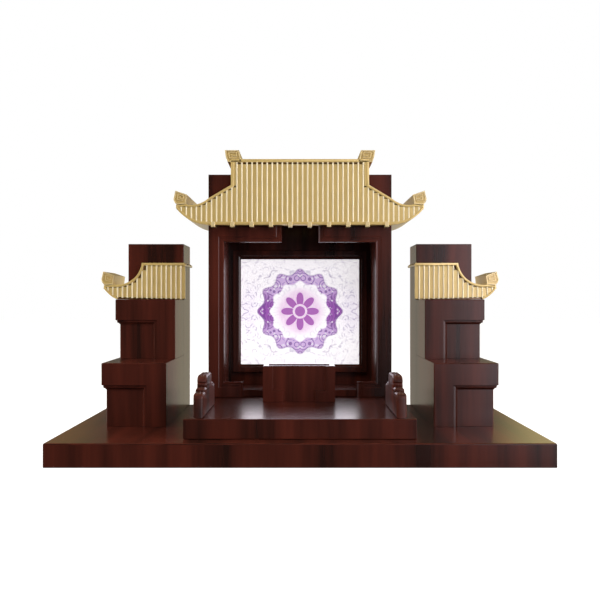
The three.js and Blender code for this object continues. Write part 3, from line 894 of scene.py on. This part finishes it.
def cut_away(bm, name, low, high):
    """Cuts a box out of a closed body and returns what is left."""
    cutter = bmesh.new()
    block(cutter, low, high)
    holders = []
    for part, label in ((bm, name), (cutter, f"{name}_cutter")):
        bmesh.ops.recalc_face_normals(part, faces=part.faces)
        mesh = bpy.data.meshes.new(label)
        part.to_mesh(mesh)
        part.free()
        holder = bpy.data.objects.new(label, mesh)
        bpy.context.scene.collection.objects.link(holder)
        holders.append(holder)
    body, tool = holders
    boolean = body.modifiers.new("cut", "BOOLEAN")
    boolean.operation = "DIFFERENCE"
    boolean.solver = "EXACT"
    boolean.object = tool
    left = bpy.data.meshes.new_from_object(body.evaluated_get(bpy.context.evaluated_depsgraph_get()))
    for holder in holders:
        bpy.data.objects.remove(holder)
    return in_fixed_order(left)


def fluted_field(bm, inner, ribs, pans, front, gilt, lid, bottom_of):
    """Ribs and pans inside a band. The inner outline is the band's inner edge, the lid gives a
    pan's upper end below that edge, and the ends tuck under the band."""
    tucked = 1.2 * MM
    shortest_rib = 3 * MM
    shortest_pan = 1.5 * MM
    gap = gilt.rib_pitch - gilt.rib_width
    first, last = min(p.x for p in inner), max(p.x for p in inner)
    for x in ribs:
        top = edge_height(inner, x, True) + tucked
        bottom = bottom_of(x)
        if top - bottom > shortest_rib:
            # Each rib is painted almost white all over as a highlight.
            marked(bm, RIB_PAINTED_HIGHLIGHT, False, add_rib, x, bottom, top, front, gilt.rib_width)
    for x in pans:
        inside = [edge for edge in (x - gap / 2, x + gap / 2) if first < edge < last]
        if not inside:
            continue
        top = min(lid(edge, edge_height(inner, edge, True)) for edge in inside)
        bottom = min(bottom_of(edge) for edge in inside) + 1.5 * MM
        if top - bottom > shortest_pan:
            add_pan(bm, x, bottom, top, front, gap + 0.6 * MM)


def finial_face(finial, ridge):
    """The finial's front face: its outline, and the four corners of the meander in it."""
    upper_part = finial[:7]
    outline = [Vector((finial[0].x - 1.5 * MM, ridge - 6 * MM))] + upper_part
    outline.append(Vector((upper_part[-1].x - 0.5 * MM, ridge - 6.6 * MM)))
    lower_in = Vector((finial[0].x, ridge - 4 * MM))
    lower_out = Vector((finial[4].x - 1 * MM, ridge - 3 * MM))
    return outline, [lower_in, lower_out, finial[2], finial[1]]


def corner_face(corner):
    """The corner block's front face, and the four corners of the meander in it."""
    outline = corner[:-2]
    lower_in = corner[0] + Vector((0.5 * MM, 1 * MM))
    lower_out = corner[8] + Vector((0, 2 * MM))
    return outline, [lower_in, lower_out, corner[2], corner[1]]


def carve_face(bm, face, front, sides=(1,)):
    """A raised face: sunk ground, a rim along its outline and a square spiral standing on it.
    It is made on each of the given sides, 1 for right and -1 for left."""
    outline, corners = face
    place = facing(front)
    for side in sides:
        edge = [Vector((p.x * side, p.y)) for p in outline]
        # The sunk ground's front is painted a little darker as shade.
        marked(bm, GROUND_PAINTED_SHADE, True, prism, edge, front, 1.4 * MM, BAND_DEPTH)
        inward = side if signed_area(outline) > 0 else -side
        # Distances from the outline and depths, in millimetres.
        section = [(0, 3), (0, 0.5), (0.5, 0), (2.6, 0), (3, 0.4), (3, 3)]
        rim = [(0, across * MM * inward, depth * MM) for across, depth in section]
        # The rim and the spiral are painted paler as highlights.
        marked(bm, CARVING_PAINTED_HIGHLIGHT, False, sweep, edge, rim, place, True)
        chain, strip = square_spiral([Vector((p.x * side, p.y)) for p in corners])
        marked(bm, CARVING_PAINTED_HIGHLIGHT, False, sweep, chain, strip, place)


def signed_area(outline):
    """Positive for an outline that runs anticlockwise."""
    pairs = zip(outline, outline[1:] + outline[:1])
    return sum(first.x * second.y - second.x * first.y for first, second in pairs) / 2


class AltarMainRoof(bpy.types.Operator):
    """The main roof: a carved front with bands, ribs and pans, finials and upturned corners"""

    bl_idname = "altar.main_roof"
    bl_label = "Main roof"

    def execute(self, context):
        gilt = context.scene.altar_gilt
        front = ROOF_LOW.y
        eave = ROOF_LOW.z
        ridge = ROOF_HIGH.z - 19.3 * MM
        gable = 150.4 * MM
        hip_start = eave + 87 * MM
        knee = Vector((gable + 47.7 * MM, hip_start - 28.5 * MM))
        out = ROOF_HIGH.x - 3.9 * MM
        corner = corner_outline(out, eave + 74.5 * MM)
        foot, lip = corner[0], corner[-1]
        hip = [Vector((gable, hip_start)), knee]
        hip += curve_points(knee, Vector(((knee.x + foot.x) / 2, foot.y - 7 * MM)), foot, 8)
        eave_end = Vector((out - 76 * MM, eave))
        under = curve_points(lip, Vector((out - 30.4 * MM, eave)), eave_end, 10)
        finial = [Vector((128.9 * MM, ridge)), Vector((132.6 * MM, ROOF_HIGH.z)),
                  Vector((163.5 * MM, ROOF_HIGH.z)), Vector((161.5 * MM, ridge + 4.8 * MM))]
        finial += curve_points(finial[-1], Vector((157.5 * MM, ridge - 7.7 * MM)),
                               Vector((gable, ridge - 21.2 * MM)), 6)
        gate_half = PORTAL_HIGH.x + CLEARANCE
        bm = roof_body(mirrored(finial + hip + corner[1:] + under), front,
                       (-gate_half, PORTAL_LOW.y - CLEARANCE, eave - 10 * MM),
                       (gate_half, PLINTH_HIGH.y + 10 * MM, PORTAL_HIGH.z + CLEARANCE), "roof_body")

        # The bands frame the field: ridge, gable, hip, the curve under the corner block, lip and
        # eave. Their widths are in millimetres, one for each point from the ridge down.
        half_field = [Vector((gable, ridge))] + hip + under_corner(out, foot) + [lip] + under
        half_widths = [7.0, 6.4, 5.0] + [4.9] * 8 + [4.4] * 5 + [4.2] + [5.0] * 6
        half_widths += [5.6, 6.2, 6.8, 7.2]
        field = mirrored(half_field)
        widths = [width * MM for width in half_widths + list(reversed(half_widths))]
        sweep(bm, field, band_profile(), facing(front), closed=True, widths=widths)
        inner = [p - step * width for p, step, width in zip(field, miters(field, True), widths)]

        pitch = gilt.rib_pitch
        count = int(out / pitch)
        first, last = min(p.x for p in inner), max(p.x for p in inner)
        middles = [(place + 0.5) * pitch for place in range(-count - 1, count + 1)]
        ribs = [x for x in middles if first < x - gilt.rib_width / 2 < last - gilt.rib_width]
        pans = [place * pitch for place in range(-count, count + 1)]

        def lid(x, height):
            """Pans stop short of the ridge band and meet the hip's band."""
            return height - POCKET if abs(x) < gable - 8 * MM else height

        def bottom_of(x):
            """The ribs' lower ends tuck under the eave's band."""
            return edge_height(inner, x, False) - 1.2 * MM

        fluted_field(bm, inner, ribs, pans, front, gilt, lid, bottom_of)

        # A second, lower step runs up inside the gable strip.
        for side in (-1, 1):
            ends = sorted((side * (gable - 6 * MM), side * (gable - 10.7 * MM)))
            block(bm, (ends[0], front + 0.8 * MM, hip_start - 2 * MM),
                  (ends[1], front + BAND_DEPTH, ridge - 5 * MM))
        carve_face(bm, finial_face(finial, ridge), front, (1, -1))
        carve_face(bm, corner_face(corner), front, (1, -1))
        finish_piece("main_roof_carving", bm, gold_leaf(), ["main_roof"], smooth_below=32)
        return {"FINISHED"}


class AltarSideRoofs(bpy.types.Operator):
    """The two side roofs: a ribbed front with a curved hip, wrapped round each pier"""

    bl_idname = "altar.side_roofs"
    bl_label = "Side roofs"

    def execute(self, context):
        gilt = context.scene.altar_gilt
        front = SIDE_ROOF_LOW.y
        eave = SIDE_ROOF_LOW.z
        tower = PIER_LOW.x
        ridge = eave + 82.3 * MM
        inner_end = tower - 2.8 * MM
        ridge_end = Vector((tower + 93.6 * MM, ridge))
        out = tower + 181 * MM
        corner = corner_outline(out, eave + 62.7 * MM)
        foot, lip = corner[0], corner[-1]
        # The hip sweeps from the ridge's end down to the corner block's foot.
        first_pull = Vector((ridge_end.x + 4 * MM, ridge - 33 * MM))
        second_pull = Vector((foot.x - 31 * MM, foot.y - 4 * MM))
        steps = 12
        hip = []
        for index in range(1, steps + 1):
            share = index / steps
            rest = 1 - share
            hip.append(ridge_end * rest ** 3 + first_pull * 3 * share * rest ** 2
                       + second_pull * 3 * share ** 2 * rest + foot * share ** 3)
        eave_end = Vector((out - 32 * MM, eave))
        under = curve_points(lip, Vector((out - 16 * MM, eave + 5 * MM)), eave_end, 8)
        ridge_start = Vector((inner_end, ridge))
        eave_start = Vector((inner_end, eave))
        silhouette = [ridge_start, ridge_end] + hip[:-1] + corner + under + [eave_start]

        chain = [ridge_start, ridge_end] + hip + under_corner(out, foot) + [lip] + under
        widths = [6.6, 6.0] + [5.6] * len(hip) + [4.4] * 5 + [4.2] + [4.0] * len(under)
        widths = [width * MM for width in widths]
        inner = [p - step * width for p, step, width in zip(chain, miters(chain, False), widths)]
        field = inner + [eave_start]
        pitch = gilt.rib_pitch
        ribs = [tower + SIDE_RIB_START + place * pitch for place in range(16)]
        pans = [tower + SIDE_RIB_START + (place - 0.5) * pitch for place in range(17)]

        # A small coping caps the ridge's inner end. Distances out from the pier's inner side and
        # heights above the ridge are in millimetres.
        section = [(-0.3, -7), (-0.3, 1), (-2.5, 0.2), (-5.7, -3.7), (-5.7, -5.4), (-4, -7)]
        coping = [Vector((tower + across * MM, ridge + up * MM)) for across, up in section]

        def lid(x, height):
            """Pans stop just short of the band."""
            return height - 1 * MM

        def bottom_of(x):
            """The ribs run down to the eave's edge."""
            return edge_height(field, x, False)

        for side in ("right", "left"):
            bm = roof_body(silhouette, front, (tower - 20 * MM, PIER_LOW.y - CLEARANCE, eave - 5 * MM),
                           (PIER_HIGH.x + CLEARANCE, PLINTH_HIGH.y + 10 * MM, ridge + 10 * MM),
                           "side_roof_body")
            sweep(bm, chain, band_profile(), facing(front), widths=widths)
            fluted_field(bm, field, ribs, pans, front, gilt, lid, bottom_of)
            carve_face(bm, corner_face(corner), front)
            prism(bm, coping, front, 0.4 * MM, PLINTH_HIGH.y - front)
            if side == "left":
                bmesh.ops.scale(bm, verts=bm.verts, vec=(-1, 1, 1))
            finish_piece(f"side_roof_{side}_carving", bm, gold_leaf(), [f"side_roof_{side}"],
                         smooth_below=32)
        return {"FINISHED"}


class AltarRafters(bpy.types.Operator):
    """The rafter ends under the main eave"""

    bl_idname = "altar.rafters"
    bl_label = "Rafter ends"

    def execute(self, context):
        for node in sorted(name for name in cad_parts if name.startswith("rafter_end_")):
            bm = bmesh.new()
            # The rafter ends are painted part way to the pale highlight colour, as a sheen.
            marked(bm, BLOCK_PAINTED_SHEEN, False, block, *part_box(node), 0.9 * MM)
            finish_piece(node.replace("end", "block"), bm, gold_leaf(), [node])
        return {"FINISHED"}


# Stage.
def soft_light(name, place, target, size, power, colour, mirrored_in_gloss=False):
    """A softbox that the camera doesn't see, nor the lacquer unless it is asked for."""
    data = bpy.data.lights.new(name, "AREA")
    data.shape = "RECTANGLE"
    data.size, data.size_y = size
    data.energy = power
    data.color = colour
    lamp = bpy.data.objects.new(name, data)
    lamp.location = place
    lamp.rotation_mode = "QUATERNION"
    lamp.rotation_quaternion = (Vector(target) - Vector(place)).to_track_quat("-Z", "Y")
    lamp.visible_camera = False
    lamp.visible_glossy = mirrored_in_gloss
    bpy.context.scene.collection.objects.link(lamp)


def studio_world():
    """White for the camera. Gloss reflects a warm backdrop behind the altar, which is bright at
    its far sides, dimmer nearer the middle and dark above it, and a dark room in front."""
    white = (1.0, 1.0, 1.0, 1)
    dark = (0.03, 0.028, 0.03, 1)
    low_backdrop = (0.42, 0.38, 0.31, 1)
    far_side = (0.8, 0.75, 0.66, 1)
    near_left = (0.24, 0.185, 0.085, 1)
    near_right = (0.92, 0.78, 0.36, 1)
    world = bpy.data.worlds.new("studio")
    bpy.context.scene.world = world
    world.use_nodes = True
    tree = world.node_tree
    tree.nodes.clear()
    direction = add(tree, "TexCoord").outputs["Generated"]
    axes = add(tree, "SeparateXYZ", {"Vector": direction}).outputs
    sideways = add(tree, "Math", {0: axes["X"]}, operation="ABSOLUTE")
    from_left = add(tree, "Math", {0: axes["X"], 1: 0.5, 2: 0.5}, operation="MULTIPLY_ADD")
    sides = add(tree, "ValToRGB", {"Fac": from_left},
                [(0.25, far_side), (0.365, near_left), (0.635, near_right), (0.75, far_side)])
    behind, low, aside = [
        add(tree, "MapRange", {"Value": value, "From Min": start, "From Max": end},
            interpolation_type="SMOOTHSTEP")
        for value, start, end in ((axes["Y"], -0.35, 0.3), (axes["Z"], 0.1, 0.065),
                                  (sideways, 0.19, 0.26))]
    seen = add(tree, "LightPath").outputs["Is Camera Ray"]
    middle = add(tree, "Mix", {0: low, COLOUR_A: dark, COLOUR_B: low_backdrop}, data_type="RGBA")
    backdrop = add(tree, "Mix", {0: aside, COLOUR_A: middle, COLOUR_B: sides}, data_type="RGBA")
    room = add(tree, "Mix", {0: behind, COLOUR_A: dark, COLOUR_B: backdrop}, data_type="RGBA")
    colour = add(tree, "Mix", {0: seen, COLOUR_A: room, COLOUR_B: white}, data_type="RGBA")
    background = add(tree, "Background", {"Color": colour, "Strength": 1.0})
    add(tree, "OutputWorld", {"Surface": background})


def pale_floor(level):
    """A floor that looks almost white, isn't mirrored in the lacquer and throws no light up."""
    bm = bmesh.new()
    bmesh.ops.create_grid(bm, x_segments=1, y_segments=1, size=12)
    mesh = bpy.data.meshes.new("floor")
    bm.to_mesh(mesh)
    bm.free()
    floor = bpy.data.objects.new("floor", mesh)
    floor.location.z = level
    floor.visible_glossy = False
    floor.visible_diffuse = False
    bpy.context.scene.collection.objects.link(floor)
    material, _, shader = new_material("pale_floor")
    shader.inputs["Base Color"].default_value = linear("a0a0a0")
    shader.inputs["Roughness"].default_value = 1.0
    shader.inputs["Emission Color"].default_value = (1, 1, 1, 1)
    shader.inputs["Emission Strength"].default_value = 0.9
    mesh.materials.append(material)


class AltarStageSet(bpy.types.Operator):
    """The pale floor, the studio light and the camera"""

    bl_idname = "altar.stage"
    bl_label = "Stage"

    def execute(self, context):
        stage = context.scene.altar_stage
        pale_floor(PLINTH_LOW.z - 0.2 * MM)
        studio_world()

        # Places, targets and sizes are in metres and powers in watts. Only the front light and
        # the picture's own glow show in the gloss.
        warm = (1, 0.98, 0.94)
        neutral = (1, 0.98, 0.96)
        soft_warm = (1, 0.98, 0.95)
        amber = (1, 0.97, 0.92)
        violet = (0.97, 0.92, 1)
        middle = (0, 0, 0.3)
        gate = (0, 0, 0.35)
        soft_light("left_light", (-3.2, -0.9, 1.1), gate, (1.6, 2.0), 72, warm)
        soft_light("right_light", (3.2, -0.9, 1.1), gate, (1.6, 2.0), 75, neutral)
        soft_light("fill_light", (-0.4, -2.2, 2.8), middle, (2.4, 1.2), 36, soft_warm)
        soft_light("front_light", (2.5, -4.0, 0.9), middle, (2.8, 2.8), 90, violet, True)
        soft_light("back_light", (0, 1.4, 1.5), (0, 0.2, 0.45), (2.4, 0.8), 42, amber)
        for side in (-1, 1):
            soft_light("low_light", (side * 1.5, 0.3, 0.12), (side * 0.3, 0.2, 0.45), (0.8, 0.2),
                       16, amber)
        low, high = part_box("picture_panel")
        centre = (low + high) / 2
        soft_light("picture_glow", (centre.x, low.y - 3 * MM, centre.z), (centre.x, -1, centre.z),
                   (0.26, 0.22), 0.4, (0.93, 0.9, 1), True)

        data = bpy.data.cameras.new("camera")
        data.sensor_width = 36
        data.lens = stage.lens
        data.clip_start = 0.05
        camera = bpy.data.objects.new("camera", data)
        camera.location = (0, PLINTH_LOW.y - stage.distance, stage.height)
        camera.rotation_euler = (math.pi / 2, 0, 0)
        context.scene.collection.objects.link(camera)
        context.scene.camera = camera
        context.scene.view_settings.view_transform = "Standard"
        return {"FINISHED"}


OPERATORS = (AltarStageSet, AltarBase, AltarGate, AltarPicture, AltarTable, AltarRails, AltarTowers,
             AltarMainRoof, AltarSideRoofs, AltarRafters)


class ALTAR_PT_parts(bpy.types.Panel):
    """Lists the altar's parts"""

    bl_label = "Altar cabinet"
    bl_space_type = "VIEW_3D"
    bl_region_type = "UI"
    bl_category = "Altar"

    def draw(self, context):
        for operator in OPERATORS:
            self.layout.operator(operator.bl_idname)


GROUPS = (("altar_wood", AltarWood), ("altar_gilt", AltarGilt), ("altar_stage", AltarStage))


def register():
    for name, group in GROUPS:
        bpy.utils.register_class(group)
        setattr(bpy.types.Scene, name, PointerProperty(type=group))
    for made in (*OPERATORS, ALTAR_PT_parts):
        bpy.utils.register_class(made)


def unregister():
    for made in reversed((*OPERATORS, ALTAR_PT_parts)):
        bpy.utils.unregister_class(made)
    for name, group in reversed(GROUPS):
        delattr(bpy.types.Scene, name)
        bpy.utils.unregister_class(group)


def main():
    register()
    bpy.ops.altar.stage()
    bpy.ops.altar.base()
    bpy.ops.altar.gate()
    bpy.ops.altar.picture()
    bpy.ops.altar.table()
    bpy.ops.altar.rails()
    bpy.ops.altar.towers()
    bpy.ops.altar.main_roof()
    bpy.ops.altar.side_roofs()
    bpy.ops.altar.rafters()


if __name__ == "__main__":
    main()
